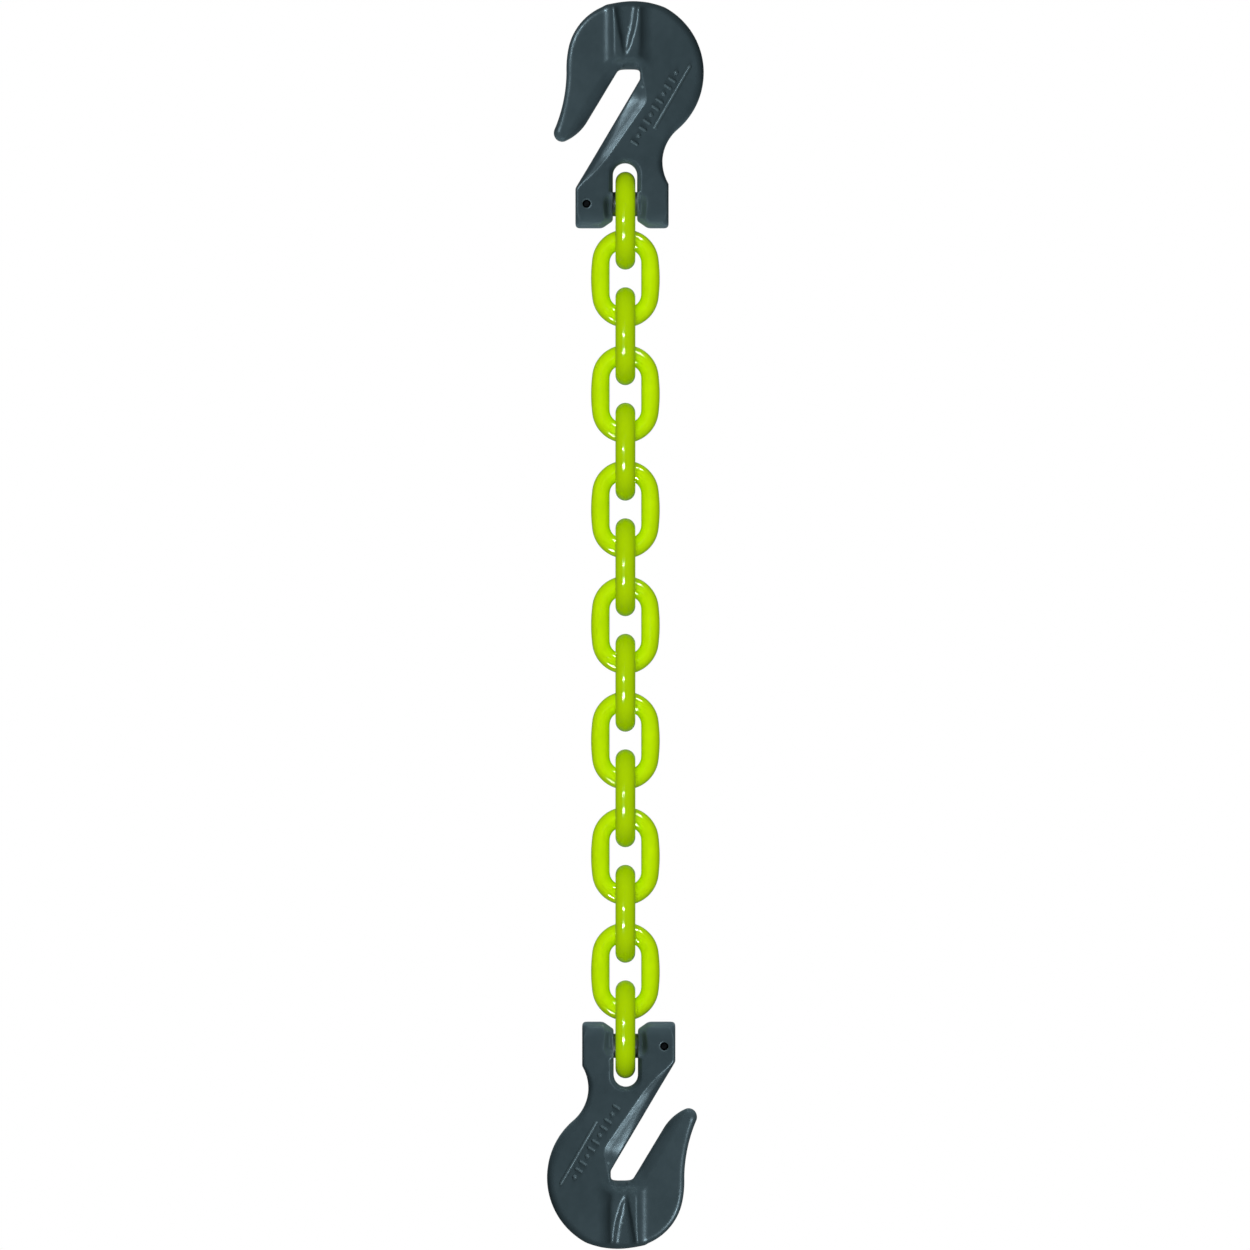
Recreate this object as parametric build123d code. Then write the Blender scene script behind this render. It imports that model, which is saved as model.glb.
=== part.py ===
from build123d import *
import math
import os

# Short load binder chain: fifteen welded links with a clevis cradle grab hook
# at each end.  Millimetres, +Z up, hanging straight.  Each hook is worked out
# in its own frame: load pin centre at the origin, hook above it, plate in XZ.

# ---- chain ----
LINK_COUNT = 15
WIRE_DIA = 10.2            # 10 mm wire with its powder coat
LINK_INNER_LENGTH = 29.8
LINK_OUTER_WIDTH = 35.2
CONTACT_GAP = 0.2          # left between faces that bear on each other

# ---- clevis ----
LOAD_PIN_DIA = 12.5
LOAD_PIN_HOLE_DIA = 12.7
LOAD_PIN_RECESS = 0.8      # each end lies this far below the ear's outer face
LOAD_PIN_CHAMFER = 0.8
ROLL_PIN_DIA = 4.0
ROLL_PIN_HOLE_DIA = 4.1
ROLL_PIN_RECESS = 2.4
ROLL_PIN_CHAMFER = 0.6
ROLL_PIN_X = -19.9
EAR_LEFT_X = -25.6
EAR_RIGHT_X = 22.15
EAR_HALF_THICKNESS = 11.0
EAR_END_RADIUS = 12.8
EAR_CORNER_RADIUS = 2.6
WINDOW_CENTRE_X = -0.2
WINDOW_WIDTH = 12.4
WINDOW_ARCH_Z = 14.9       # centre of the round top
WINDOW_RIM = 2.0           # chamfer round the window, above the relief
RELIEF_TOP_Z = 6.5
RELIEF_INNER_RADIUS = 8.6  # cone about the load pin, at the window's wall
RELIEF_OUTER_X = 11.8      # where the relief runs out, off the window's centre

# ---- hook plate ----
BODY_HALF_THICKNESS = 9.5
NECK_LOW_Z = 13.0          # the ears thin down to the body between these
NECK_HIGH_Z = 25.0
CROWN_Z = 103.8

# ---- grab slot ----
SLOT_TILT = 30.8           # degrees from the chain's line
SHANK_EDGE_TOP = (7.5, 63.8)
SEAT_Z = 69.5
SEAT_LEFT_X = -3.3
SEAT_RIGHT_X = 7.5
SEAT_CORNER_TRIM = 2.1     # the slot's rounded corners take this much off the seat
POINT_TANGENT = (-19.3, 42.7)
TIP_CENTRE = (-32.4, 36.4)
TIP_RADIUS = 4.3
BEVEL_TILT = 28.0          # degrees off the plate's face
BEVEL_WIDTH = 14.0         # wider than the strip each bevel leaves
SHANK_BEVEL = ((-12.6, 18.7), (11.1, 52.7))
POINT_BEVEL = ((-28.0, 41.6), (-9.3, 69.2))
# the (x, z) regions that the two bevels stay inside
SHANK_BEVEL_REGION = (
    (11.4, 52.0), (11.2, 59.5), (9.0, 63.6), (4.0, 64.0),
    (-33.0, 3.0), (-25.6, 7.0), (-19.5, 11.6), (-12.6, 18.7),
)
POINT_BEVEL_REGION = (
    (-9.3, 69.2), (-3.2, 69.5), (-1.6, 66.0), (-18.0, 38.0),
    (-24.0, 25.0), (-45.0, 25.0), (-45.0, 35.0),
)

# ---- cradle wings ----
WING_LEFT_X = -8.85
WING_RIGHT_X = 10.3
WING_TOP_Z = 101.0
WING_REACH_TOP = 12.4      # crest height off the mid plane, at WING_TOP_Z
WING_REACH_LOW = 15.6      # and at the saddle
WING_FLANK_SLOPE = 1.05
SADDLE_RADIUS = 18.0       # the seat's round, seen from the side
CREST_LOW_Z = 78.0         # the crests' lower end
TROUGH_LOW_Z = 75.0
# crest left and right, floor left and right, and the floor's height off the plane
TROUGH_LOW = (-2.5, 3.1, -0.6, 0.0, 12.6)
TROUGH_TOP = (-5.7, 6.5, -3.4, 3.6, BODY_HALF_THICKNESS)

# ---- raised marks ----
MARK_HEIGHT = 0.5
MARK_RULE = ((15.1, 39.3), (32.9, 70.2))
MARK_ROW = ((4.6, 31.2), (26.0, 67.0))
MARK_COUNT = 11

BIG = 200.0                # longer than anything it has to pass through
OVERRUN = 40.0             # how far a bevel's cutter runs on past its strip

# ---- worked out ----
WIRE_R = WIRE_DIA / 2
LINK_OUTER_LENGTH = LINK_INNER_LENGTH + 2 * WIRE_DIA
BEND_R = LINK_OUTER_WIDTH / 2 - WIRE_R
STRAIGHT = LINK_OUTER_LENGTH - LINK_OUTER_WIDTH
PITCH = LINK_INNER_LENGTH - CONTACT_GAP
PIN_TO_PIN = (LINK_COUNT * LINK_INNER_LENGTH - (LINK_COUNT - 1) * CONTACT_GAP
              - LOAD_PIN_DIA - 2 * CONTACT_GAP)
UPPER_PIN_Z = PIN_TO_PIN / 2
WING_LEAN = (WING_REACH_LOW - WING_REACH_TOP) / (WING_TOP_Z - CREST_LOW_Z)


def xz(point):
    """A point of a hook's mid plane, from its (x, z) pair."""
    return Vector(point[0], 0, point[1])


def on_circle(centre, radius, degrees):
    """The (x, z) point of a circle at an angle up from +X."""
    angle = math.radians(degrees)
    return (centre[0] + radius * math.cos(angle), centre[1] + radius * math.sin(angle))


def prism_y(points, half):
    """A closed polygon in XZ, extruded both ways along Y."""
    face = make_face(Polyline(*[xz(p) for p in points], close=True))
    return extrude(face, amount=half, dir=(0, 1, 0), both=True)


def both_sides(tool):
    """A tool on the +Y side together with its mirror image."""
    return tool + mirror(tool, Plane.XZ)


def link():
    """One link, centred on the origin, standing in the YZ plane."""
    section = Circle(WIRE_R)
    leg = Pos(0, BEND_R, 0) * Cylinder(WIRE_R, STRAIGHT)
    bend = revolve(Pos(BEND_R, 0, 0) * (Plane.XZ * section), Axis.Z, 180)
    crown = Pos(0, 0, STRAIGHT / 2) * (Rot(0, 0, 90) * (Rot(90, 0, 0) * bend))
    half = leg + mirror(leg, Plane.XZ) + crown
    return half + mirror(crown, Plane.XY)


def hook_outline():
    """The hook's silhouette with its slot, before the window is cut."""
    tilt = math.radians(SLOT_TILT)
    shank_run = SHANK_EDGE_TOP[0] - EAR_LEFT_X
    shank_foot = (EAR_LEFT_X, SHANK_EDGE_TOP[1] - shank_run / math.tan(tilt))
    seat_rise = SEAT_Z - POINT_TANGENT[1]
    seat_left = (POINT_TANGENT[0] + seat_rise * math.tan(tilt), SEAT_Z)
    tip_low = on_circle(TIP_CENTRE, TIP_RADIUS, -72)
    tip_mid = on_circle(TIP_CENTRE, TIP_RADIUS, -146)
    tip_left = on_circle(TIP_CENTRE, TIP_RADIUS, 154)
    ear_left_low = (EAR_LEFT_X, -EAR_END_RADIUS)
    ear_right_low = (EAR_RIGHT_X, -EAR_END_RADIUS)
    waist_foot = (EAR_RIGHT_X, 10.15)
    waist_top = (26.6, 38.3)
    crown_right = (20.3, 100.6)
    crown_left = (-12.4, 100.6)
    shoulder = (-29.1, 80.0)
    side = (-30.2, 67.6)
    corner = (SEAT_RIGHT_X, SEAT_Z)
    edges = [
        Line(xz(ear_left_low), xz(shank_foot)),
        Line(xz(shank_foot), xz(SHANK_EDGE_TOP)),
        Line(xz(SHANK_EDGE_TOP), xz(corner)),
        Line(xz(corner), xz(seat_left)),
        Line(xz(seat_left), xz(POINT_TANGENT)),
        ThreePointArc(xz(POINT_TANGENT), xz((-24.1, 36.7)), xz(tip_low)),
        ThreePointArc(xz(tip_low), xz(tip_mid), xz(tip_left)),
        ThreePointArc(xz(tip_left), xz((-31.8, 52.5)), xz(side)),
        ThreePointArc(xz(side), xz((-30.0, 74.0)), xz(shoulder)),
        ThreePointArc(xz(shoulder), xz((-23.1, 92.4)), xz(crown_left)),
        ThreePointArc(xz(crown_left), xz((3.95, CROWN_Z)), xz(crown_right)),
        ThreePointArc(xz(crown_right), xz((40.15, 67.25)), xz(waist_top)),
        ThreePointArc(xz(waist_top), xz((19.0, 21.4)), xz(waist_foot)),
        Line(xz(waist_foot), xz(ear_right_low)),
        Line(xz(ear_right_low), xz(ear_left_low)),
    ]
    return make_face(edges)


def hook_plate():
    """The outline at the thickness of the body and the round-ended ears."""
    plate = extrude(hook_outline(), amount=EAR_HALF_THICKNESS, dir=(0, 1, 0), both=True)
    corners = [
        ((EAR_LEFT_X, -EAR_END_RADIUS), EAR_CORNER_RADIUS),
        ((EAR_RIGHT_X, -EAR_END_RADIUS), EAR_CORNER_RADIUS),
        ((SEAT_RIGHT_X, SEAT_Z), 2.0),
        (SHANK_EDGE_TOP, 1.5),
        ((SEAT_LEFT_X, SEAT_Z), 4.0),
        ((EAR_LEFT_X, 8.7), 3.0),
        ((EAR_RIGHT_X, 10.15), 2.0),
    ]
    for (x, z), radius in corners:
        upright = plate.edges().filter_by(Axis.Y).sort_by_distance(Vector(x, 0, z))[0]
        plate = fillet(upright, radius)
    ear_angle = math.asin(EAR_HALF_THICKNESS / EAR_END_RADIUS)
    ear_z = -EAR_END_RADIUS * math.cos(ear_angle)
    x0 = EAR_LEFT_X - 20
    ear_low = Vector(x0, 0, -EAR_END_RADIUS)
    left = Vector(x0, -EAR_HALF_THICKNESS, ear_z)
    right = Vector(x0, EAR_HALF_THICKNESS, ear_z)
    path = [
        ThreePointArc(left, ear_low, right),
        Polyline(
            right,
            (x0, EAR_HALF_THICKNESS, NECK_LOW_Z),
            (x0, BODY_HALF_THICKNESS, NECK_HIGH_Z),
            (x0, BODY_HALF_THICKNESS, CROWN_Z + 5),
            (x0, -BODY_HALF_THICKNESS, CROWN_Z + 5),
            (x0, -BODY_HALF_THICKNESS, NECK_HIGH_Z),
            (x0, -EAR_HALF_THICKNESS, NECK_LOW_Z),
            left,
        ),
    ]
    profile = extrude(make_face(path), amount=BIG / 2, dir=(1, 0, 0))
    return plate & profile


def bevel(boundary, region, towards):
    """Wedge that slopes in from a line on each face, kept inside a region."""
    (x0, z0), (x1, z1) = boundary
    length = math.hypot(x1 - x0, z1 - z0)
    along = Vector((x1 - x0) / length, 0, (z1 - z0) / length)
    across = Vector(-along.Z, 0, along.X) * towards * BEVEL_WIDTH
    down = Vector(0, -BEVEL_WIDTH * math.tan(math.radians(BEVEL_TILT)), 0)
    clear = Vector(0, BODY_HALF_THICKNESS, 0)
    start = xz((x0, z0)) - along * OVERRUN + Vector(0, BODY_HALF_THICKNESS, 0)
    outline = Polyline(
        start, start + across + down, start + across + clear, start + clear, close=True)
    wedge = extrude(make_face(outline), amount=length + 2 * OVERRUN, dir=along)
    return both_sides(wedge & prism_y(region, BIG))


def saddle_z(y):
    """Height of the rounded saddle, at a distance y off the mid plane."""
    return SEAT_Z + SADDLE_RADIUS - math.sqrt(SADDLE_RADIUS**2 - y**2)


def saddle_arc(x, reach):
    """The saddle's arc in the plane at x, from the mid plane out to reach."""
    middle = reach / 2
    return ThreePointArc((x, 0, SEAT_Z), (x, middle, saddle_z(middle)), (x, reach, saddle_z(reach)))


def saddle_cut():
    """What is taken off under the saddle, over the flat part of the seat."""
    reach = BODY_HALF_THICKNESS + 1
    left = SEAT_LEFT_X + SEAT_CORNER_TRIM
    rest = Polyline(
        (left, reach, saddle_z(reach)),
        (left, reach, SEAT_Z - 1),
        (left, 0, SEAT_Z - 1),
        (left, 0, SEAT_Z),
    )
    face = make_face([saddle_arc(left, reach), rest])
    width = SEAT_RIGHT_X - SEAT_CORNER_TRIM - left
    return both_sides(extrude(face, amount=width, dir=(1, 0, 0)))


def trough_section(z, crest_left, crest_right, floor_left, floor_right, floor_y):
    """The V trough's section at z: level crests, sloping walls and a floor."""
    crest_y = WING_REACH_TOP + (WING_TOP_Z - z) * WING_LEAN
    above = crest_y + 8
    return make_face(Polyline(
        (crest_left, above, z), (crest_left, crest_y, z), (floor_left, floor_y, z),
        (floor_right, floor_y, z), (crest_right, crest_y, z), (crest_right, above, z),
        close=True,
    ))


def wings():
    """The two cradle wings: a ridge up the plate, hollowed by a V trough."""
    foot_y = BODY_HALF_THICKNESS
    middle_x = (WING_LEFT_X + WING_RIGHT_X) / 2
    apex_y = foot_y + (WING_RIGHT_X - WING_LEFT_X) / 2 * WING_FLANK_SLOPE
    section = Polyline(
        (WING_LEFT_X, 0, 0), (WING_LEFT_X, foot_y, 0), (middle_x, apex_y, 0),
        (WING_RIGHT_X, foot_y, 0), (WING_RIGHT_X, 0, 0), close=True,
    )
    ridge = extrude(make_face(section), amount=BIG, dir=(0, 0, 1))
    rest = Polyline(
        (WING_LEFT_X, WING_REACH_LOW, saddle_z(WING_REACH_LOW)),
        (WING_LEFT_X, WING_REACH_TOP, WING_TOP_Z),
        (WING_LEFT_X, 0, WING_TOP_Z),
        (WING_LEFT_X, 0, SEAT_Z),
    )
    side = make_face([saddle_arc(WING_LEFT_X, WING_REACH_LOW), rest])
    ridge = ridge & extrude(side, amount=WING_RIGHT_X - WING_LEFT_X, dir=(1, 0, 0))
    low = trough_section(TROUGH_LOW_Z, *TROUGH_LOW)
    top = trough_section(WING_TOP_Z, *TROUGH_TOP)
    return both_sides(ridge - loft([low, top], ruled=True))


def window_cut():
    """The clevis window, open at the bottom, with its rim chamfer and relief."""
    half = WINDOW_WIDTH / 2
    opening = Pos(WINDOW_CENTRE_X, 0, 0) * (
        Pos(0, 0, WINDOW_ARCH_Z / 2 - 10) * Box(WINDOW_WIDTH, 60, WINDOW_ARCH_Z + 20)
        + Pos(0, 0, WINDOW_ARCH_Z) * Rot(90, 0, 0) * Cylinder(half, 60)
    )
    return opening


def window_rim():
    """45 degree chamfer round the window's round top, on the +Y face."""
    depth = WINDOW_RIM
    inner = WINDOW_WIDTH / 2
    face_y = EAR_HALF_THICKNESS - 0.3
    cone = Pos(WINDOW_CENTRE_X, face_y, WINDOW_ARCH_Z) * Rot(-90, 0, 0) * Cone(
        inner - 1, inner + depth + 1, depth + 2)
    section = Polyline(
        (WINDOW_CENTRE_X - inner + 1, face_y - depth / 2 - 1, RELIEF_TOP_Z - 2),
        (WINDOW_CENTRE_X + inner - 1, face_y - depth / 2 - 1, RELIEF_TOP_Z - 2),
        (WINDOW_CENTRE_X + inner + depth + 1, face_y + depth / 2 + 1, RELIEF_TOP_Z - 2),
        (WINDOW_CENTRE_X - inner - depth - 1, face_y + depth / 2 + 1, RELIEF_TOP_Z - 2),
        close=True,
    )
    run = extrude(make_face(section), amount=WINDOW_ARCH_Z - RELIEF_TOP_Z + 2, dir=(0, 0, 1))
    return both_sides(cone + run)


def ear_relief():
    """Relief on each ear's inner side: flat above the load pin, conical below."""
    wall = WINDOW_WIDTH / 2
    depth = RELIEF_OUTER_X - wall
    ring = Cylinder(EAR_END_RADIUS + 6, depth) - Cone(
        RELIEF_INNER_RADIUS, EAR_END_RADIUS, depth)
    below = Pos(0, 0, -BIG / 2) * Box(BIG, BIG, BIG)
    cone = (Pos(wall + depth / 2, 0, 0) * Rot(0, 90, 0) * ring) & below
    section = Polyline(
        (wall, RELIEF_INNER_RADIUS, -EAR_END_RADIUS),
        (wall + depth, EAR_HALF_THICKNESS, -EAR_END_RADIUS),
        (wall + depth, EAR_END_RADIUS, -EAR_END_RADIUS),
        (wall, EAR_END_RADIUS, -EAR_END_RADIUS),
        close=True,
    )
    flat = extrude(make_face(section), amount=EAR_END_RADIUS + RELIEF_TOP_Z, dir=(0, 0, 1))
    right = cone + both_sides(flat)
    return Pos(WINDOW_CENTRE_X, 0, 0) * (right + mirror(right, Plane.YZ))


def marks():
    """A raised rule and a row of plain raised bars and dots on each face."""
    foot = BODY_HALF_THICKNESS - 0.5
    height = MARK_HEIGHT + 0.5
    pieces = []

    def bar(centre, length, width, angle):
        block = Box(length, height, width)
        place = Pos(centre[0], foot + height / 2, centre[1]) * Rot(0, -angle, 0)
        pieces.append(place * block)

    (x0, z0), (x1, z1) = MARK_RULE
    slope = math.degrees(math.atan2(z1 - z0, x1 - x0))
    bar(((x0 + x1) / 2, (z0 + z1) / 2), math.hypot(x1 - x0, z1 - z0), 0.8, slope)
    (x0, z0), (x1, z1) = MARK_ROW
    for i in range(MARK_COUNT):
        t = i / (MARK_COUNT - 1)
        centre = (x0 + (x1 - x0) * t, z0 + (z1 - z0) * t)
        if i % 3 == 1:
            dot = Pos(centre[0], foot + height / 2, centre[1]) * Rot(90, 0, 0)
            pieces.append(dot * Cylinder(0.9, height))
        else:
            bar(centre, 3.0, 0.8, slope + 90)
    together = pieces[0]
    for piece in pieces[1:]:
        together = together + piece
    return both_sides(together)


def hook():
    """The forged hook in its own frame."""
    body = hook_plate()
    body = body - bevel(SHANK_BEVEL, SHANK_BEVEL_REGION, 1)
    body = body - bevel(POINT_BEVEL, POINT_BEVEL_REGION, -1)
    body = body + wings()
    body = body - saddle_cut()
    body = body + marks()
    body = body - window_rim()
    body = body - ear_relief()
    body = body - window_cut()
    load_hole = Rot(0, 90, 0) * Cylinder(LOAD_PIN_HOLE_DIA / 2, BIG)
    roll_hole = Pos(ROLL_PIN_X, 0, 0) * Rot(90, 0, 0) * Cylinder(ROLL_PIN_HOLE_DIA / 2, BIG)
    return body - load_hole - roll_hole


def load_pin():
    """The clevis pin, drilled across for its roll pin."""
    low = EAR_LEFT_X + LOAD_PIN_RECESS
    high = EAR_RIGHT_X - LOAD_PIN_RECESS
    bar = Cylinder(LOAD_PIN_DIA / 2, high - low)
    bar = chamfer(bar.edges().filter_by(GeomType.CIRCLE), LOAD_PIN_CHAMFER)
    bar = Pos((low + high) / 2, 0, 0) * Rot(0, 90, 0) * bar
    hole = Pos(ROLL_PIN_X, 0, 0) * Rot(90, 0, 0) * Cylinder(ROLL_PIN_HOLE_DIA / 2, BIG)
    return bar - hole


def roll_pin():
    """The coiled spring pin that keeps the load pin in, its coils closed up."""
    pin = Cylinder(ROLL_PIN_DIA / 2, 2 * (EAR_HALF_THICKNESS - ROLL_PIN_RECESS))
    pin = chamfer(pin.edges().filter_by(GeomType.CIRCLE), ROLL_PIN_CHAMFER)
    return Pos(ROLL_PIN_X, 0, 0) * Rot(90, 0, 0) * pin


def save(node, shape):
    """Write one node's STEP file."""
    solids = shape.solids()
    print(node, len(solids), round(sum(s.volume for s in solids), 1))
    shape = solids[0] if len(solids) == 1 else Compound(children=list(solids))
    shape.label = node
    export_step(shape, f"parts/{node}.step")


os.makedirs("parts", exist_ok=True)

upper = Pos(0, 0, UPPER_PIN_Z)
lower = Pos(0, 0, -UPPER_PIN_Z) * Rot(0, 180, 0)
end_pieces = {"hook": hook(), "load_pin": load_pin(), "roll_pin": roll_pin()}
for end, place in (("upper", upper), ("lower", lower)):
    for name, shape in end_pieces.items():
        save(f"{end}_{name}", place * shape)

edge_on = link()
face_on = Rot(0, 0, 90) * edge_on
first_z = UPPER_PIN_Z + LOAD_PIN_DIA / 2 + CONTACT_GAP + WIRE_DIA - LINK_OUTER_LENGTH / 2
for number in range(1, LINK_COUNT + 1):
    shape = edge_on if number % 2 else face_on
    save(f"link_{number:02d}", Pos(0, 0, first_z - (number - 1) * PITCH) * shape)
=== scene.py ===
import math

import bpy
import numpy as np
import openvdb
from mathutils import Matrix, Vector


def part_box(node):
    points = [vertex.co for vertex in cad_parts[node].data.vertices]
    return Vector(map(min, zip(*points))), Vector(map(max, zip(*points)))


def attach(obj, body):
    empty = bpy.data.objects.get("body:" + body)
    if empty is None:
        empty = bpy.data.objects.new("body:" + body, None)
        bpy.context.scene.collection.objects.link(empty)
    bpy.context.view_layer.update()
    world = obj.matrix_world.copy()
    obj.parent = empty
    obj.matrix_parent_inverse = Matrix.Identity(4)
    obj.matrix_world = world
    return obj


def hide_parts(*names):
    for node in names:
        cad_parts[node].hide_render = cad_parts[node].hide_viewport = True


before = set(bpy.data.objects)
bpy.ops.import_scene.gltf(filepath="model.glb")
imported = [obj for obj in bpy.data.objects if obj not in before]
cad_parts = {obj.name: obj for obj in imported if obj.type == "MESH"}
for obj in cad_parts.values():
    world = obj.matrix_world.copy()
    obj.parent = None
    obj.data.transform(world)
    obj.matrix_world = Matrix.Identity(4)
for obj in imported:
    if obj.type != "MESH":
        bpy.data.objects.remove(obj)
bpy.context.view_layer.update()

MM = 0.001

# ---- where the pieces are, from the frame ----
LINK_NAMES = sorted(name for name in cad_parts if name.startswith("link_"))
PIN_LOW, PIN_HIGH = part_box("upper_load_pin")
UPPER_PIN_Z = (PIN_LOW.z + PIN_HIGH.z) / 2 / MM

# ---- hook plate ----
BODY_HALF = 9.5            # half thickness of the forged plate
EAR_HALF = 11.0
EAR_END_RADIUS = 12.8      # the ears' round lower end, about the load pin
NECK_LOW_Z = 13.0
NECK_HIGH_Z = 25.0
EAR_LEFT_X = -25.6
EAR_RIGHT_X = 22.15
LOAD_HOLE_RADIUS = 6.35
ROLL_HOLE_RADIUS = 2.05
ROLL_PIN_X = -19.9
WINDOW_X = -0.2
WINDOW_HALF = 6.2
WINDOW_ARCH_Z = 14.9
RIM_WIDTH = 2.1
RELIEF_TOP_Z = 6.5
RELIEF_FADE = 3.0          # the relief runs out between the pin and this far above its top
RELIEF_INNER_RADIUS = 8.6  # of the cone below the pin, at the window
RELIEF_INNER_Y = 7.4       # the relief's floor, off the mid plane
RELIEF_OUTER_X = 12.2
RELIEF_LEAN = 0.72         # the relief wall's slope, as a cosine
TIP_THINNING = 1.6         # the point's face falls this far towards the tip
SHANK_SLOPE, SHANK_CURVE = 0.68, -0.021   # fall of each bevel: slope * d + curve * d**2
POINT_SLOPE, POINT_CURVE = 0.30, 0.060
SHANK_CORNERS, POINT_CORNERS = 2.5, 4.0   # how round the bevels' own corners are
EDGE_ROUND = 2.9           # round of the plate's edges, and how it changes by place
EDGE_MORE_AT_BACK = 1.1
EDGE_MORE_AT_TIP = 0.8
EDGE_ROUND_AT_SLOT = 1.0
EDGE_ROUND_AT_EARS = 1.5
EAR_END_ROUND, EAR_END_MORE = 1.6, 4.5    # of the ears' lower end, and more near the face
WING_ROOT_FILLET = 2.4
HOLE_EDGE_ROUND = 0.7
ROLL_HOLE_EDGE_ROUND = 0.5
WINDOW_EDGE_ROUND = 0.8
SEAT_EDGE_ROUND = 0.8
RELIEF_EDGE_ROUND = 0.7
CONE_EDGE_ROUND = 0.8

# ---- grab slot ----
SEAT_Z = 69.5
SEAT_CUT_DEPTH = 3.0       # the seat's round stops this far below it, clear of the shank
SADDLE_RADIUS = 18.0
SADDLE_REACH = 17.0
SEAT_LOW_X = -1.2
SEAT_HIGH_X = 5.4
SLOT_MIDDLE = ((-28.6, 24.0), (3.0, 66.5))
# straight boundaries of the two bevels, each with its bevel on the left as it runs
SHANK_BEVEL = (((-25.1, 7.8), (-12.6, 18.7)), ((-12.6, 18.7), (11.1, 52.7)),
               ((11.8, 50.0), (8.8, 64.5)))
POINT_BEVEL = (((-9.3, 69.2), (-17.0, 60.0)), ((-16.4, 60.6), (-24.3, 47.9)),
               ((-24.3, 47.9), (-29.0, 38.5)), ((5.0, 69.8), (-9.3, 69.8)))

# ---- cradle wings: (z, value) tables read along each wing ----
WING_FOOT_Y = BODY_HALF - 0.4
WING_FOOT_PAST = 1.2       # the flanks run on this far under the plate's face
WING_FOOT_LEFT = -8.85
WING_FOOT_RIGHT = 10.5
WING_TOP_Z = 101.2
CREST_LEFT = ((76.0, -2.9), (78.0, -3.6), (89.0, -4.9), (101.0, -6.2))
CREST_RIGHT = ((76.0, 3.3), (81.0, 5.0), (85.0, 5.6), (94.0, 6.7), (101.0, 6.9))
CREST_REACH = ((76.0, 15.4), (101.0, 12.4))
FLOOR_LEFT = ((76.0, -0.7), (86.0, -1.2), (101.0, -3.2))
FLOOR_RIGHT = ((76.0, 0.1), (85.8, 1.5), (90.0, 2.7), (98.0, 3.8), (101.0, 4.1))
FLOOR_REACH = ((76.0, 12.4), (80.0, 11.0), (87.0, 9.6), (101.0, 9.5))
WING_SIDES = ((-1, WING_FOOT_LEFT, CREST_LEFT, FLOOR_LEFT),
              (1, WING_FOOT_RIGHT, CREST_RIGHT, FLOOR_RIGHT))
CREST_ROUND = 0.9
CREASE_ROUND = 0.6         # of the creases where two flanks meet
TROUGH_MIDDLE_FILLET, TROUGH_FLOOR_FILLET = 0.5, 1.0
WING_TOP_ROUND, WING_LOW_ROUND = 2.2, 2.4

# ---- raised marks ----
MARK_HEIGHT = 0.65
MARK_RULE = ((15.1, 39.3), (32.9, 70.2))
MARK_ROW = ((4.6, 31.2), (26.0, 67.0))
MARK_COUNT = 11
MARK_SIDES = 24            # points round one mark
RULE_HALF_WIDTH = 0.75
BAR_HALF_LENGTH, BAR_HALF_WIDTH = 1.5, 0.7
DOT_RADIUS = 1.05
# a mark's section: (height as a share of MARK_HEIGHT, width as a share of its half width)
MARK_SECTION = ((0.2, 1.0), (0.85, 0.5), (1.0, 0.2))
MARK_ROOT_DEPTH, MARK_ROOT_SPREAD = 0.3, 0.3

# ---- links ----
LINK_HALF_WIDTH = 17.6
LINK_HALF_LENGTH = 25.1
LINK_STRAIGHT_Z = 7.5      # the hollow's straight sides end here
LEG_RADIUS = 80.0          # the legs are faintly barrelled
LINK_INNER_X = 8.1
LINK_INNER_Z = 14.9
WIRE_HALF = 5.1            # off the link's own plane
HOLLOW_POWER = 2.25        # the hollow's two ends are superellipses of this power

# ---- meshing ----
VOXEL = 0.5
GRID_X = (-38.5, 42.5)     # the space that the half hook is worked out in
GRID_Y = (0.0, 18.0)
GRID_Z = (-15.5, 106.0)
RING_STEPS = 64
LEG_STEPS = 32
SECTION_STEPS = 40


# ---------------------------------------------------------------- fields
def smooth_step(t):
    """0 to 1 with level ends."""
    t = np.clip(t, 0.0, 1.0)
    return t * t * (3.0 - 2.0 * t)


def join(a, b, k):
    """Union of two fields with a fillet of about k."""
    h = np.maximum(k - np.abs(a - b), 0.0) / k
    return np.minimum(a, b) - h * h * k / 4.0


def meet(a, b, k):
    """Intersection of two fields, with its edge rounded by about k."""
    return -join(-a, -b, k)


def arc(start, middle, end, steps=24):
    """Points of the circular arc through three points, the last left out."""
    (ax, az), (bx, bz), (cx, cz) = start, middle, end
    d = 2 * (ax * (bz - cz) + bx * (cz - az) + cx * (az - bz))
    a2, b2, c2 = ax**2 + az**2, bx**2 + bz**2, cx**2 + cz**2
    ox = (a2 * (bz - cz) + b2 * (cz - az) + c2 * (az - bz)) / d
    oz = (a2 * (cx - bx) + b2 * (ax - cx) + c2 * (bx - ax)) / d
    radius = math.hypot(ax - ox, az - oz)
    first = math.atan2(az - oz, ax - ox)
    turn_b = (math.atan2(bz - oz, bx - ox) - first) % (2 * math.pi)
    turn_c = (math.atan2(cz - oz, cx - ox) - first) % (2 * math.pi)
    if turn_b > turn_c:
        turn_c -= 2 * math.pi
    angles = first + turn_c * np.arange(steps) / steps
    return [(ox + radius * math.cos(t), oz + radius * math.sin(t)) for t in angles]


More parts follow.
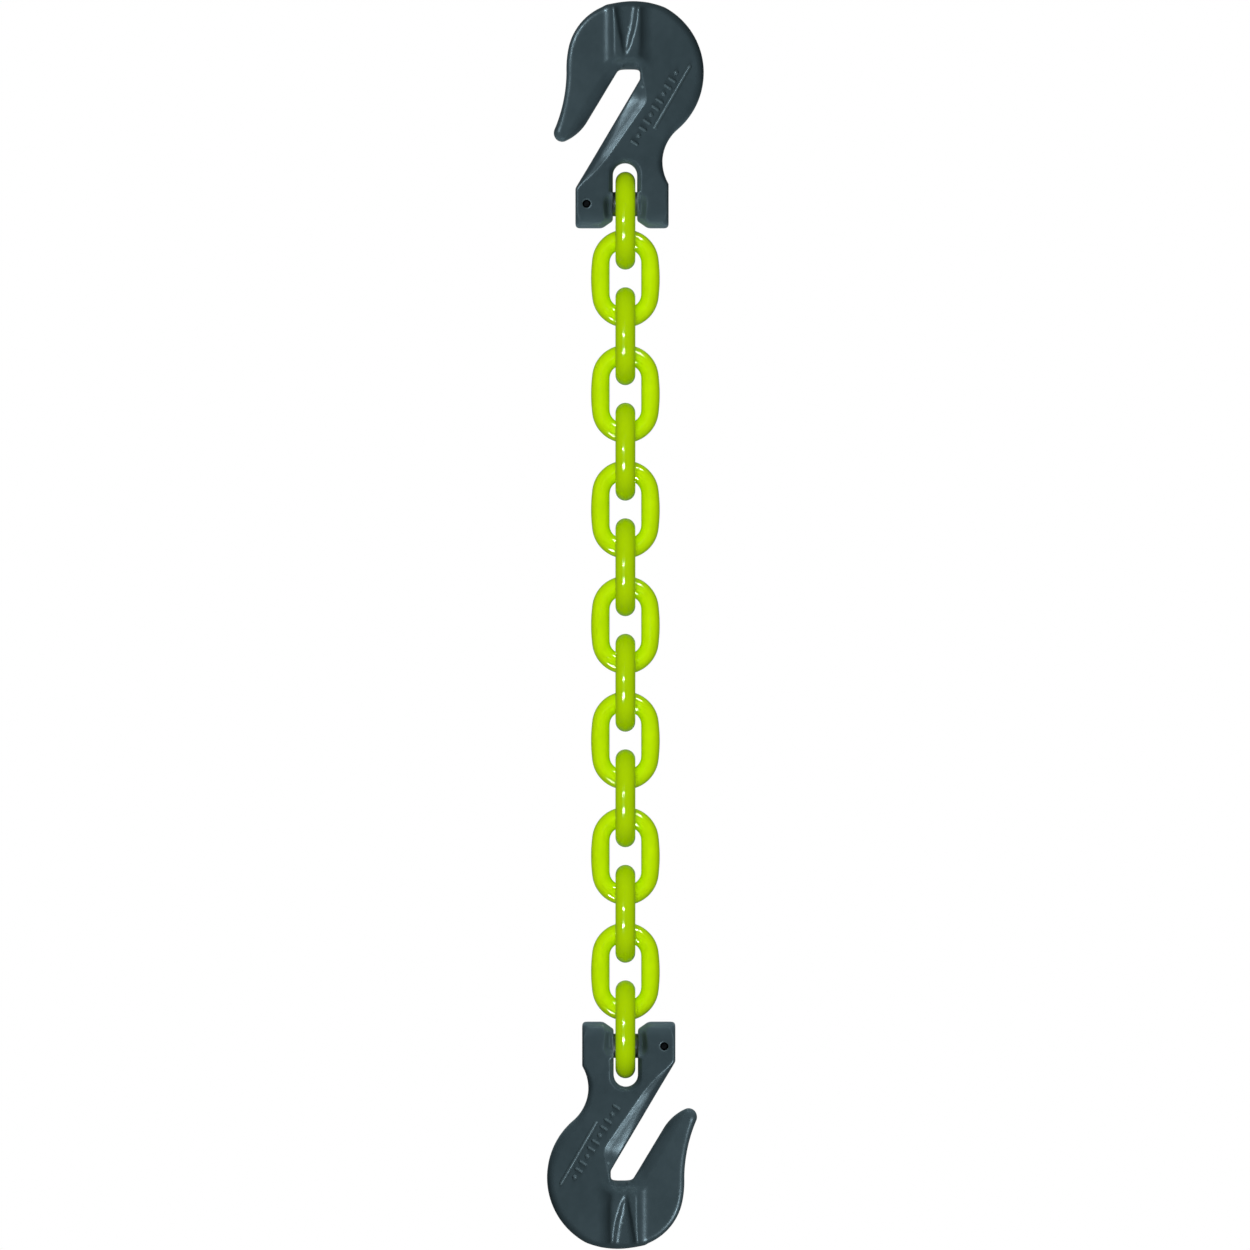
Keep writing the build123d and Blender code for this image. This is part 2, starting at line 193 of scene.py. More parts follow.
def rounded_corner(before, corner, after, radius, steps=8):
    """Points that round one corner of the outline."""
    b, p, a = (np.array(v, float) for v in (before, corner, after))
    u = (b - p) / np.linalg.norm(b - p)
    v = (a - p) / np.linalg.norm(a - p)
    half = math.acos(float(np.clip(u @ v, -1, 1))) / 2
    back = radius / math.tan(half)
    first, last = p + u * back, p + v * back
    t = np.linspace(0, 1, steps)[:, None]
    points = first * (1 - t) ** 2 + 2 * p * t * (1 - t) + last * t**2
    return [tuple(q) for q in points]


def hook_outline():
    """The hook's silhouette as a closed run of (x, z) points."""
    foot = (EAR_LEFT_X, 7.9)
    shank_top = (7.5, 63.8)
    seat_right = (7.5, SEAT_Z)
    seat_left = (-3.3, SEAT_Z)
    point_end = (-19.3, 42.7)
    tip_low = (-31.1, 32.3)
    tip_left = (-36.25, 38.3)
    side = (-30.2, 67.6)
    waist_foot = (EAR_RIGHT_X, 10.15)
    low_left = (EAR_LEFT_X, -EAR_END_RADIUS)
    low_right = (EAR_RIGHT_X, -EAR_END_RADIUS)
    points = []
    points += rounded_corner(low_right, low_left, foot, 2.8)
    points += rounded_corner(low_left, foot, shank_top, 3.0)
    points += rounded_corner(foot, shank_top, seat_right, 1.8)
    points += rounded_corner(shank_top, seat_right, seat_left, 2.4)
    points += rounded_corner(seat_right, seat_left, point_end, 4.2)
    points += arc(point_end, (-24.1, 36.7), tip_low)
    points += arc(tip_low, (-35.9, 33.9), tip_left)
    points += arc(tip_left, (-31.8, 52.5), side)
    points += arc(side, (-30.0, 74.0), (-29.1, 80.0))
    points += arc((-29.1, 80.0), (-23.1, 92.4), (-12.4, 100.6))
    points += arc((-12.4, 100.6), (3.95, 103.8), (20.3, 100.6))
    points += arc((20.3, 100.6), (40.15, 67.25), (26.6, 38.3), 60)
    points += arc((26.6, 38.3), (19.0, 21.4), waist_foot)
    points += rounded_corner((20.7, 12.9), waist_foot, low_right, 2.2)
    points += rounded_corner(waist_foot, low_right, low_left, 2.8)
    return np.array(points)


def distance_to_run(x, z, points):
    """Unsigned distance of each grid place to a closed run of points."""
    best = np.full(x.shape, 1e9)
    for (ax, az), (bx, bz) in zip(points, np.roll(points, -1, axis=0)):
        dx, dz = bx - ax, bz - az
        t = np.clip(((x - ax) * dx + (z - az) * dz) / (dx * dx + dz * dz + 1e-12), 0, 1)
        best = np.minimum(best, (x - ax - t * dx) ** 2 + (z - az - t * dz) ** 2)
    return np.sqrt(best)


def inside(x, z, points):
    """True where a grid place lies inside a closed run of points."""
    result = np.zeros(x.shape, bool)
    ends = np.roll(points, -1, axis=0)
    for (ax, az), (bx, bz) in zip(points, ends):
        crosses = (az > z) != (bz > z)
        if az != bz:
            result ^= crosses & (x < (bx - ax) * (z - az) / (bz - az) + ax)
    return result


def side_of(x, z, line):
    """Signed distance off a straight line, positive to its right."""
    (ax, az), (bx, bz) = line
    length = math.hypot(bx - ax, bz - az)
    return ((x - ax) * (bz - az) - (z - az) * (bx - ax)) / length


def strip_depth(x, z, lines, k):
    """How far each place lies inside all of some lines, their corners rounded by k."""
    depth = -side_of(x, z, lines[0])
    for line in lines[1:]:
        depth = join(depth, -side_of(x, z, line), k)
    return np.maximum(depth, 0.0)


def table(z, rows):
    """A table of (z, value) rows read at every z."""
    return np.interp(z, [r[0] for r in rows], [r[1] for r in rows])


def window_distance(x, z):
    """Distance to the clevis window, negative inside it."""
    dx = np.abs(x - WINDOW_X)
    round_top = np.hypot(dx, z - WINDOW_ARCH_Z)
    return np.where(z > WINDOW_ARCH_Z, round_top, dx) - WINDOW_HALF


def face_height(x, z):
    """How far the plate's face stands off the mid plane at each (x, z)."""
    neck = smooth_step((NECK_HIGH_Z - z) / (NECK_HIGH_Z - NECK_LOW_Z))
    height = BODY_HALF + (EAR_HALF - BODY_HALF) * neck
    slot_side = side_of(x, z, SLOT_MIDDLE)

    depth = np.where(slot_side > 0, strip_depth(x, z, SHANK_BEVEL, SHANK_CORNERS), 0.0)
    height = height - (SHANK_SLOPE * depth + SHANK_CURVE * depth**2)
    depth = np.where(slot_side < 0, strip_depth(x, z, POINT_BEVEL, POINT_CORNERS), 0.0)
    height = height - (POINT_SLOPE * depth + POINT_CURVE * depth**2)
    to_tip = smooth_step((62.0 - z) / 30.0) * (slot_side < 0)
    height = height - TIP_THINNING * to_tip
    rim = np.clip(RIM_WIDTH - window_distance(x, z), 0.0, RIM_WIDTH + 0.5)
    height = height - rim * smooth_step((z - RELIEF_TOP_Z + 1.0) / 1.5)
    return height


def edge_radius(x, z):
    """Radius of the plate's edge at each (x, z)."""
    right = smooth_step((x - 12.0) / 14.0) * smooth_step((z - 30.0) / 14.0)
    slot_side = side_of(x, z, SLOT_MIDDLE)
    near_slot = smooth_step((11.0 - np.abs(slot_side)) / 4.0) * smooth_step((72.0 - z) / 4.0)
    tip = smooth_step((56.0 - z) / 20.0) * (slot_side < 0)
    ears = smooth_step((20.0 - z) / 14.0)
    radius = EDGE_ROUND + EDGE_MORE_AT_BACK * right + EDGE_MORE_AT_TIP * tip
    radius = radius + (EDGE_ROUND_AT_SLOT - radius) * near_slot * (1 - 0.75 * tip)
    return radius + (EDGE_ROUND_AT_EARS - radius) * ears


def wing_field(x, y, z):
    """The two wings' ridge with its V trough, over the saddle's round."""
    crest, floor = table(z, CREST_REACH), table(z, FLOOR_REACH)
    flanks, walls = [], []
    for side, foot_x, crest_rows, floor_rows in WING_SIDES:
        crest_x, floor_x = table(z, crest_rows), table(z, floor_rows)
        fall = (crest - WING_FOOT_Y) / (side * (foot_x - crest_x))
        flanks.append((y - crest + side * (x - crest_x) * fall) / np.hypot(1, fall))
        rise = (crest - floor) / (side * (crest_x - floor_x))
        walls.append((y - floor - side * (x - floor_x) * rise) / np.hypot(1, rise))
    trough = join(join(*walls, TROUGH_MIDDLE_FILLET), y - floor, TROUGH_FLOOR_FILLET)
    ridge = meet(meet(*flanks, CREASE_ROUND), trough, CREST_ROUND)
    past_foot = np.maximum(WING_FOOT_LEFT - x, x - WING_FOOT_RIGHT) - WING_FOOT_PAST
    ridge = meet(ridge, past_foot, CREASE_ROUND)
    ridge = meet(ridge, z - WING_TOP_Z, WING_TOP_ROUND)
    return meet(ridge, saddle_height(y) - z, WING_LOW_ROUND)


def saddle_height(y):
    """Height of the rounded seat at a distance y off the mid plane."""
    return SEAT_Z + SADDLE_RADIUS - np.sqrt(SADDLE_RADIUS**2 - np.minimum(y, SADDLE_REACH) ** 2)


def hook_field(xs, ys, zs):
    """Signed distance of the y >= 0 half of the hook, on a grid."""
    x2, z2 = np.meshgrid(xs, zs, indexing="ij")
    outline = hook_outline()
    off_outline = distance_to_run(x2, z2, outline)
    off_outline = np.where(inside(x2, z2, outline), -off_outline, off_outline)
    height = face_height(x2, z2)
    slope_x, slope_z = np.gradient(height, xs[1] - xs[0])
    lean = 1.0 / np.sqrt(1.0 + np.minimum(slope_x**2 + slope_z**2, 4.0))
    radius = edge_radius(x2, z2)
    window = window_distance(x2, z2)

    x, y, z = xs[:, None, None], ys[None, :, None], zs[None, None, :]
    radius = radius[:, None, :]
    across = off_outline[:, None, :] + radius
    up = (y - height[:, None, :]) * lean[:, None, :] + radius
    plate = (np.minimum(np.maximum(across, up), 0.0)
             + np.hypot(np.maximum(across, 0.0), np.maximum(up, 0.0)) - radius)
    about_pin = np.hypot(y, z)
    ear_end = np.hypot(y, np.minimum(z, 0.0)) - EAR_END_RADIUS
    plate = meet(plate, ear_end, EAR_END_ROUND + EAR_END_MORE * smooth_step((y - 5.0) / 4.0))

    seat_cut = meet(z - saddle_height(y), np.maximum(SEAT_LOW_X - x, x - SEAT_HIGH_X), 1.2)
    seat_cut = np.maximum(seat_cut, SEAT_Z - SEAT_CUT_DEPTH - z)
    plate = meet(plate, -seat_cut, SEAT_EDGE_ROUND)
    body = join(plate, wing_field(x, y, z), WING_ROOT_FILLET)

    outward = (np.abs(x - WINDOW_X) - WINDOW_HALF) / (RELIEF_OUTER_X - WINDOW_HALF)
    cone = RELIEF_INNER_RADIUS + (EAR_END_RADIUS - RELIEF_INNER_RADIUS) * outward
    below_pin = np.minimum((about_pin - cone) * RELIEF_LEAN, 0.5 - z)
    body = meet(body, below_pin, CONE_EDGE_ROUND)
    wall = smooth_step((outward - 0.3) / 0.75) + np.maximum(outward - 1.0, 0.0)
    relief = RELIEF_INNER_Y + (EAR_HALF - RELIEF_INNER_Y) * wall
    run_out = smooth_step(z / (RELIEF_TOP_Z + RELIEF_FADE))
    relief = relief + (EAR_HALF + 1.5 - relief) * run_out
    body = meet(body, (y - relief) * RELIEF_LEAN, RELIEF_EDGE_ROUND)
    body = meet(body, -window[:, None, :], WINDOW_EDGE_ROUND)
    body = meet(body, LOAD_HOLE_RADIUS - about_pin, HOLE_EDGE_ROUND)
    roll = ROLL_HOLE_RADIUS - np.hypot(x - ROLL_PIN_X, z)
    return meet(body, roll, ROLL_HOLE_EDGE_ROUND)


def raised_mark(centre, direction, half_length, half_width, side):
    """Points and faces of one round-edged raised bar, or dot, on one face."""
    around = 2 * np.pi * (np.arange(MARK_SIDES) + 0.5) / MARK_SIDES
    along = np.sign(np.cos(around)) * half_length
    dx, dz = direction
    section = [(-MARK_ROOT_DEPTH, half_width + MARK_ROOT_SPREAD)]
    section += [(MARK_HEIGHT * up, half_width * wide) for up, wide in MARK_SECTION]
    rows = []
    for height, width in section:
        u, v = along + width * np.cos(around), width * np.sin(around)
        level = np.full(MARK_SIDES, side * (BODY_HALF + height))
        rows.append(np.stack([centre[0] + u * dx - v * dz, level,
                              centre[1] + u * dz + v * dx], axis=1))
    faces = []
    for row in range(len(MARK_SECTION)):
        low, high = row * MARK_SIDES, (row + 1) * MARK_SIDES
        for i in range(MARK_SIDES):
            ahead = (i + 1) % MARK_SIDES
            faces.append([low + i, low + ahead, high + ahead, high + i])
    faces.append([len(MARK_SECTION) * MARK_SIDES + i for i in range(MARK_SIDES)])
    if side > 0:
        faces = [face[::-1] for face in faces]
    return np.concatenate(rows), faces


def straight(line):
    """Unit direction and length of a straight line."""
    (x0, z0), (x1, z1) = line
    length = math.hypot(x1 - x0, z1 - z0)
    return ((x1 - x0) / length, (z1 - z0) / length), length


def raised_marks():
    """The raised rule and the row of plain bars and dots, on both faces."""
    along, length = straight(MARK_RULE)
    (x0, z0), (x1, z1) = MARK_RULE
    marks = [(((x0 + x1) / 2, (z0 + z1) / 2), along, length / 2, RULE_HALF_WIDTH)]
    along, length = straight(MARK_ROW)
    across = (-along[1], along[0])
    (x0, z0), (x1, z1) = MARK_ROW
    for i in range(MARK_COUNT):
        t = i / (MARK_COUNT - 1)
        centre = (x0 + (x1 - x0) * t, z0 + (z1 - z0) * t)
        if i % 3 == 1:
            marks.append((centre, across, 0.0, DOT_RADIUS))
        else:
            marks.append((centre, across, BAR_HALF_LENGTH, BAR_HALF_WIDTH))
    return [raised_mark(*mark, side) for mark in marks for side in (-1, 1)]


def smooth_mesh(name, points, faces):
    """A smooth-shaded mesh of points in metres."""
    mesh = bpy.data.meshes.new(name)
    mesh.from_pydata(points, [], faces)
    mesh.polygons.foreach_set("use_smooth", [True] * len(mesh.polygons))
    mesh.update()
    return mesh


def hook_mesh():
    """The hook as one smooth mesh, in metres, in its own frame.

    The half field and its mirror image make the whole; the marks stand on its faces.
    """
    xs, ys, zs = (np.arange(*reach, VOXEL) for reach in (GRID_X, GRID_Y, GRID_Z))
    half = hook_field(xs, ys, zs)
    whole = np.concatenate([half[:, :0:-1, :], half], axis=1)
    grid = openvdb.FloatGrid(background=5.0)
    grid.copyFromArray(np.ascontiguousarray(whole, dtype=np.float32))
    points, quads = grid.convertToQuads(0.0)
    origin = np.array([xs[0], -ys[-1], zs[0]])
    points = points * VOXEL + origin
    faces = quads.tolist()
    for mark_points, mark_faces in raised_marks():
        faces += [[i + len(points) for i in face] for face in mark_faces]
        points = np.concatenate([points, mark_points])
    return smooth_mesh("hook", (points * MM).tolist(), faces)


# ---------------------------------------------------------------- links
def link_profile():
    """Outer and inner (x, z) runs of one link, in step with each other.

    The outer run is an oval of four arcs: a faintly barrelled leg of LEG_RADIUS on
    each side, and a bend at each end that meets the legs without a kink.
    """
    reach = LEG_RADIUS - LINK_HALF_WIDTH
    bend = ((LEG_RADIUS**2 - reach**2 - LINK_HALF_LENGTH**2)
            / (2 * (LEG_RADIUS - LINK_HALF_LENGTH)))
    bend_z = LINK_HALF_LENGTH - bend
    joint = math.atan2(bend_z, reach)
    hollow = LINK_INNER_Z - LINK_STRAIGHT_Z
    power = 2 / HOLLOW_POWER
    outer, inner = [], []
    for end in (1, -1):
        for i in range(RING_STEPS):
            t = i / RING_STEPS
            angle = joint + (math.pi - 2 * joint) * t
            outer.append((end * bend * math.cos(angle), end * (bend_z + bend * math.sin(angle))))
            c, s = math.cos(math.pi * t), math.sin(math.pi * t)
            inner.append((end * LINK_INNER_X * math.copysign(abs(c) ** power, c),
                          end * (LINK_STRAIGHT_Z + hollow * s ** power)))
        for i in range(LEG_STEPS):
            t = 1 - 2 * i / LEG_STEPS
            angle = joint * t
            outer.append((-end * (LEG_RADIUS * math.cos(angle) - reach),
                          end * LEG_RADIUS * math.sin(angle)))
            inner.append((-end * LINK_INNER_X, end * LINK_STRAIGHT_Z * t))
    return np.array(outer), np.array(inner)


def link_mesh():
    """One link about the origin, in metres, standing in the XZ plane."""
    outer, inner = link_profile()
    middle, reach = (outer + inner) / 2, (outer - inner) / 2
    turns = 2 * np.pi * np.arange(SECTION_STEPS) / SECTION_STEPS
    rows = []
    for turn in turns:
        x = middle[:, 0] + reach[:, 0] * math.cos(turn)
        z = middle[:, 1] + reach[:, 1] * math.cos(turn)
        y = np.full(len(outer), WIRE_HALF * math.sin(turn))
        rows.append(np.stack([x, y, z], axis=1))
    points = np.stack(rows, axis=1) * MM
    count = len(outer)
    index = np.arange(count * SECTION_STEPS).reshape(count, SECTION_STEPS)
    ahead = np.roll(index, -1, axis=0)
    faces = np.stack([index, np.roll(index, -1, axis=1),
                      np.roll(ahead, -1, axis=1), ahead], axis=-1).reshape(-1, 4)
    return smooth_mesh("link", points.reshape(-1, 3).tolist(), faces.tolist())


# ---------------------------------------------------------------- materials
class Nodes:
    """A material's node tree, with short ways to add and join nodes."""

    def __init__(self, name):
        self.material = bpy.data.materials.new(name)
        self.material.use_nodes = True
        self.tree = self.material.node_tree
        self.shader = self.tree.nodes["Principled BSDF"]
        self.place = self.add("ShaderNodeTexCoord").outputs["Object"]

    def add(self, kind, **settings):
        """A new node, its inputs or settings given by name."""
        node = self.tree.nodes.new(kind)
        for key, value in settings.items():
            if key in node.inputs:
                node.inputs[key].default_value = value
            else:
                setattr(node, key, value)
        return node

    def join(self, output, socket):
        """Lead an output into an input."""
        self.tree.links.new(output, socket)

    def noise(self, scale, detail=2.0, roughness=0.5):
        """Noise over the object, its scale per metre."""
        node = self.add("ShaderNodeTexNoise", Scale=scale, Detail=detail, Roughness=roughness)
        self.join(self.place, node.inputs["Vector"])
        return node.outputs["Fac"]

    def ramp(self, value, low, high, out_low, out_high):
        """A value taken from one range to another."""
        node = self.add("ShaderNodeMapRange")
        for key, number in (("From Min", low), ("From Max", high),
                            ("To Min", out_low), ("To Max", out_high)):
            node.inputs[key].default_value = number
        self.join(value, node.inputs["Value"])
        return node.outputs["Result"]

    def mix(self, factor, first, second):
        """Two colours mixed, each given as a tuple or as an output."""
        node = self.add("ShaderNodeMix", data_type="RGBA")
        self.join(factor, node.inputs["Factor"])
        color_a, color_b = [s for s in node.inputs if s.type == "RGBA"]
        for socket, value in ((color_a, first), (color_b, second)):
            if isinstance(value, tuple):
                socket.default_value = (*value, 1.0)
            else:
                self.join(value, socket)
        return [s for s in node.outputs if s.type == "RGBA"][0]

    def bump(self, height, distance, strength, under=None):
        """A bump that can lie over another one."""
        node = self.add("ShaderNodeBump", Strength=strength, Distance=distance)
        self.join(height, node.inputs["Height"])
        if under is not None:
            self.join(under, node.inputs["Normal"])
        return node.outputs["Normal"]

    def finish(self, color, roughness, normal, **values):
        """Lead everything into the shader and give back the material."""
        self.join(color, self.shader.inputs["Base Color"])
        self.join(roughness, self.shader.inputs["Roughness"])
        self.join(normal, self.shader.inputs["Normal"])
        for key, value in values.items():
            self.shader.inputs[key.replace("_", " ")].default_value = value
        return self.material


def chain_coat():
    """Fluorescent yellow-green powder coat: glossy, with a faint orange peel."""
    n = Nodes("chain_coat")
    pooled = n.ramp(n.noise(110.0, 3.0), 0.3, 0.7, 0.0, 1.0)
    color = n.mix(pooled, (0.60, 0.85, 0.0), (0.66, 0.91, 0.0))
    roughness = n.ramp(n.noise(420.0, 2.0), 0.3, 0.7, 0.06, 0.09)
    peel = n.bump(n.noise(900.0, 1.0), 0.00002, 0.15)
    soft = n.bump(n.noise(170.0, 1.0), 0.0003, 0.02, peel)
    return n.finish(color, roughness, soft, Specular_IOR_Level=0.15,
                    Specular_Tint=(0.90, 1.0, 0.75, 1.0))


def hook_paint():
    """Dark slate paint over a forged surface, lighter along its convex edges as a painted
    highlight.
    """
    n = Nodes("hook_paint")
    patch = n.ramp(n.noise(60.0, 4.0, 0.6), 0.3, 0.7, 0.0, 1.0)
    base = n.mix(patch, (0.0200, 0.0290, 0.0330), (0.0265, 0.0370, 0.0420))
    # painted highlight: the paint turns lighter where the surface is most convex (pointiness),
    # standing in for gloss on the edges
    point = n.add("ShaderNodeNewGeometry").outputs["Pointiness"]
    edge = n.ramp(point, 0.515, 0.56, 0.0, 0.55)
    color = n.mix(edge, base, (0.10, 0.13, 0.14))
    roughness = n.ramp(n.noise(300.0, 3.0), 0.3, 0.7, 0.30, 0.38)
    grain = n.bump(n.noise(1500.0, 2.0), 0.00005, 0.3)
    forged = n.bump(n.noise(120.0, 3.0), 0.0005, 0.3, grain)
    return n.finish(color, roughness, forged, Specular_Tint=(0.70, 0.90, 1.0, 1.0))


def steel(name, tone, scale):
    """Drawn steel of the given tone, with fine marks along the squeezed axis of scale."""
    n = Nodes(name)
    stretch = n.add("ShaderNodeMapping")
    stretch.inputs["Scale"].default_value = scale
    n.join(n.place, stretch.inputs["Vector"])
    lines = n.add("ShaderNodeTexNoise", Scale=900.0, Detail=3.0)
    n.join(stretch.outputs["Vector"], lines.inputs["Vector"])
    dark = tuple(c * 0.55 for c in tone)
    color = n.mix(n.ramp(n.noise(260.0, 3.0), 0.35, 0.7, 0.0, 1.0), tone, dark)
    roughness = n.ramp(lines.outputs["Fac"], 0.3, 0.7, 0.28, 0.45)
    normal = n.bump(lines.outputs["Fac"], 0.00008, 0.4)
    return n.finish(color, roughness, normal, Metallic=1.0)


# ---------------------------------------------------------------- pieces
def place_piece(name, mesh, matrix, body, node, material):
    """Put one visible piece in the place of a CAD node."""
    piece = bpy.data.objects.new(name, mesh)
    bpy.context.scene.collection.objects.link(piece)
    piece.matrix_world = matrix
    if material.name not in mesh.materials:
        mesh.materials.append(material)
    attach(piece, body)
    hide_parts(node)
    return piece


def light_group(name, pieces):
    """Pieces that some lights are kept to."""
    group = bpy.data.collections.new(name)
    for piece in pieces:
        group.objects.link(piece)
    return group


coat, paint = chain_coat(), hook_paint()
ring = link_mesh()
quarter = Matrix.Rotation(math.pi / 2, 4, "Z")
face_on_links, edge_on_links = [], []
for name in LINK_NAMES:
    low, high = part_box(name)
    spot = Matrix.Translation((low + high) / 2)
    stands_face_on = high.x - low.x > high.y - low.y
    matrix = spot if stands_face_on else spot @ quarter
    piece = place_piece(name + "_coated", ring, matrix, name, name, coat)
    (face_on_links if stands_face_on else edge_on_links).append(piece)

forging = hook_mesh()
ends = {}
half_turn = Matrix.Rotation(math.pi, 4, "Y")
for end, matrix in (("upper", Matrix.Translation((0, 0, UPPER_PIN_Z * MM))),
                    ("lower", Matrix.Translation((0, 0, -UPPER_PIN_Z * MM)) @ half_turn)):
    body = end + "_hook"
    ends[end] = [place_piece(body + "_forging", forging, matrix, body, body, paint)]

pin_finish = steel("pin_steel", (0.32, 0.33, 0.34), (0.05, 1.0, 1.0))
roll_finish = steel("roll_pin_steel", (0.022, 0.023, 0.025), (1.0, 0.05, 1.0))
for end in ("upper", "lower"):
    for part, finish in (("load_pin", pin_finish), ("roll_pin", roll_finish)):
        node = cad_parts[f"{end}_{part}"]
        ends[end].append(node)
        mesh = node.data
        mesh.materials.clear()
        mesh.materials.append(finish)


# ---------------------------------------------------------------- stage
# lengths are metres here
FLOOR_Z = -2.6
FLOOR_RADIUS = 14.0
FLOOR_SIDES = 96
FLOOR_LIGHT = 2.8
FLOOR_LIGHT_ANGLE = 40     # degrees
PICTURE_HEIGHT = 0.6406    # what the picture spans at the chain's plane
CAMERA_X = -0.0002
LENS = 400.0
SENSOR = 36.0
LIGHT_COLOR = (0.90, 0.97, 1.0)
AMBIENT_COLOR = (0.78, 0.97, 1.0, 1.0)
AMBIENT_FRONT = 0.42
AMBIENT_SIDES = 0.17
GLOSS_SHARE = 0.45         # how much of the surroundings shows in gloss
HOOK_MIDDLE = (0, 0, 0.265)
# about a hook: (name, place off its middle, (width, height), energy, seen in gloss in front)
HOOK_LIGHTS = (("key", (-0.45, -0.604, 0.27), (0.22, 0.22), 4.6, True),
               ("front", (-0.62, -1.31, 0.39), (0.5, 0.5), 5.2, False),
               ("fill", (-0.10, -0.25, -0.80), (0.5, 0.3), 11.0, False))
# lights on the links, azimuth and elevation in degrees
CHAIN_AZIMUTH, CHAIN_ELEVATION, CHAIN_FAR = -5, 9, 4.5
CHAIN_LIGHT_SIZE = (1.6, 1.6)
CHAIN_ENERGY = 88.0
FACE_ON_ENERGY = 38.0
GLINT_FAR = 15.0
LEG_GLINT_AZIMUTH = -20
LEG_GLINT_WIDTH = 6.5
LEG_GLINTS = ((2.3, 0.50, 1500.0), (-9.6, 0.95, 2800.0))   # (elevation, height, energy)
BEND_GLINTS = ((45, 53), (-45, -53))                       # (azimuth, elevation)
BEND_GLINT_SIZE = (3.3, 3.3)
BEND_GLINT_ENERGY = 4800.0


def aim(obj, target):
    """Turn a light or the camera to look at a point."""
    direction = Vector(target) - obj.location
    obj.rotation_euler = direction.to_track_quat("-Z", "Y").to_euler()


def softbox(name, place, target, size, energy, only, glossy=True, diffuse=True):
    """A soft light, kept to one group of pieces."""
    data = bpy.data.lights.new(name, "AREA")
    data.shape = "RECTANGLE"
    data.size, data.size_y = size
    data.energy = energy
    data.color = LIGHT_COLOR
    obj = bpy.data.objects.new(name, data)
    obj.location = place
    aim(obj, target)
    obj.visible_camera = False
    obj.visible_glossy = glossy
    obj.visible_diffuse = diffuse
    bpy.context.scene.collection.objects.link(obj)
    obj.light_linking.receiver_collection = only
    obj.light_linking.blocker_collection = only


def towards(azimuth, elevation, distance):
    """A place that far off the origin; azimuth 0 is in front, positive to the right."""
    a, e = math.radians(azimuth), math.radians(elevation)
    level = math.cos(e)
    return Vector((math.sin(a) * level, -math.cos(a) * level, math.sin(e))) * distance


def floor():
    """A pale floor well below the chain, with a light of its own that only it receives."""
    mesh = bpy.data.meshes.new("floor")
    turns = [2 * math.pi * i / FLOOR_SIDES for i in range(FLOOR_SIDES)]
    edge = [(FLOOR_RADIUS * math.cos(t), FLOOR_RADIUS * math.sin(t), FLOOR_Z) for t in turns]
    mesh.from_pydata(edge, [], [list(range(FLOOR_SIDES))])
    obj = bpy.data.objects.new("floor", mesh)
    n = Nodes("floor_pale")
    color = n.mix(n.noise(3.0), (0.86, 0.86, 0.86), (0.88, 0.88, 0.88))
    rough = n.ramp(n.noise(5.0), 0, 1, 0.8, 0.9)
    mesh.materials.append(n.finish(color, rough, n.bump(n.noise(40.0), 0.0002, 0.1)))
    obj.visible_shadow = False
    obj.visible_glossy = False
    obj.visible_diffuse = False
    bpy.context.scene.collection.objects.link(obj)
    light = bpy.data.objects.new("floor_light", bpy.data.lights.new("floor_light", "SUN"))
    light.data.energy = FLOOR_LIGHT
    light.data.angle = math.radians(FLOOR_LIGHT_ANGLE)
    light.light_linking.receiver_collection = light_group("floor_lit", [obj])
    bpy.context.scene.collection.objects.link(light)


def surroundings():
    """White seen behind the chain, and soft light that is weaker from the two sides."""
    world = bpy.data.worlds.new("studio")
    bpy.context.scene.world = world
    world.use_nodes = True
    tree = world.node_tree
    new, link = tree.nodes.new, tree.links.new
    back = tree.nodes["Background"]
    back.inputs["Color"].default_value = AMBIENT_COLOR
    parts = new("ShaderNodeSeparateXYZ")
    link(new("ShaderNodeTexCoord").outputs["Generated"], parts.inputs["Vector"])
    sideways = new("ShaderNodeMath")
    sideways.operation = "ABSOLUTE"
    link(parts.outputs["X"], sideways.inputs[0])
    level = new("ShaderNodeMapRange")
    level.inputs["To Min"].default_value = AMBIENT_FRONT
    level.inputs["To Max"].default_value = AMBIENT_SIDES
    link(sideways.outputs[0], level.inputs["Value"])
    ray = new("ShaderNodeLightPath")
    gloss = new("ShaderNodeMapRange")
    gloss.inputs["To Min"].default_value = 1.0
    gloss.inputs["To Max"].default_value = GLOSS_SHARE
    link(ray.outputs["Is Glossy Ray"], gloss.inputs["Value"])
    strength = new("ShaderNodeMath")
    strength.operation = "MULTIPLY"
    link(level.outputs["Result"], strength.inputs[0])
    link(gloss.outputs["Result"], strength.inputs[1])
    link(strength.outputs[0], back.inputs["Strength"])
    white = new("ShaderNodeBackground")
    white.inputs["Color"].default_value = (1, 1, 1, 1)
    mix = new("ShaderNodeMixShader")
    link(ray.outputs["Is Camera Ray"], mix.inputs[0])
    link(back.outputs[0], mix.inputs[1])
    link(white.outputs[0], mix.inputs[2])
    link(mix.outputs[0], tree.nodes["World Output"].inputs["Surface"])


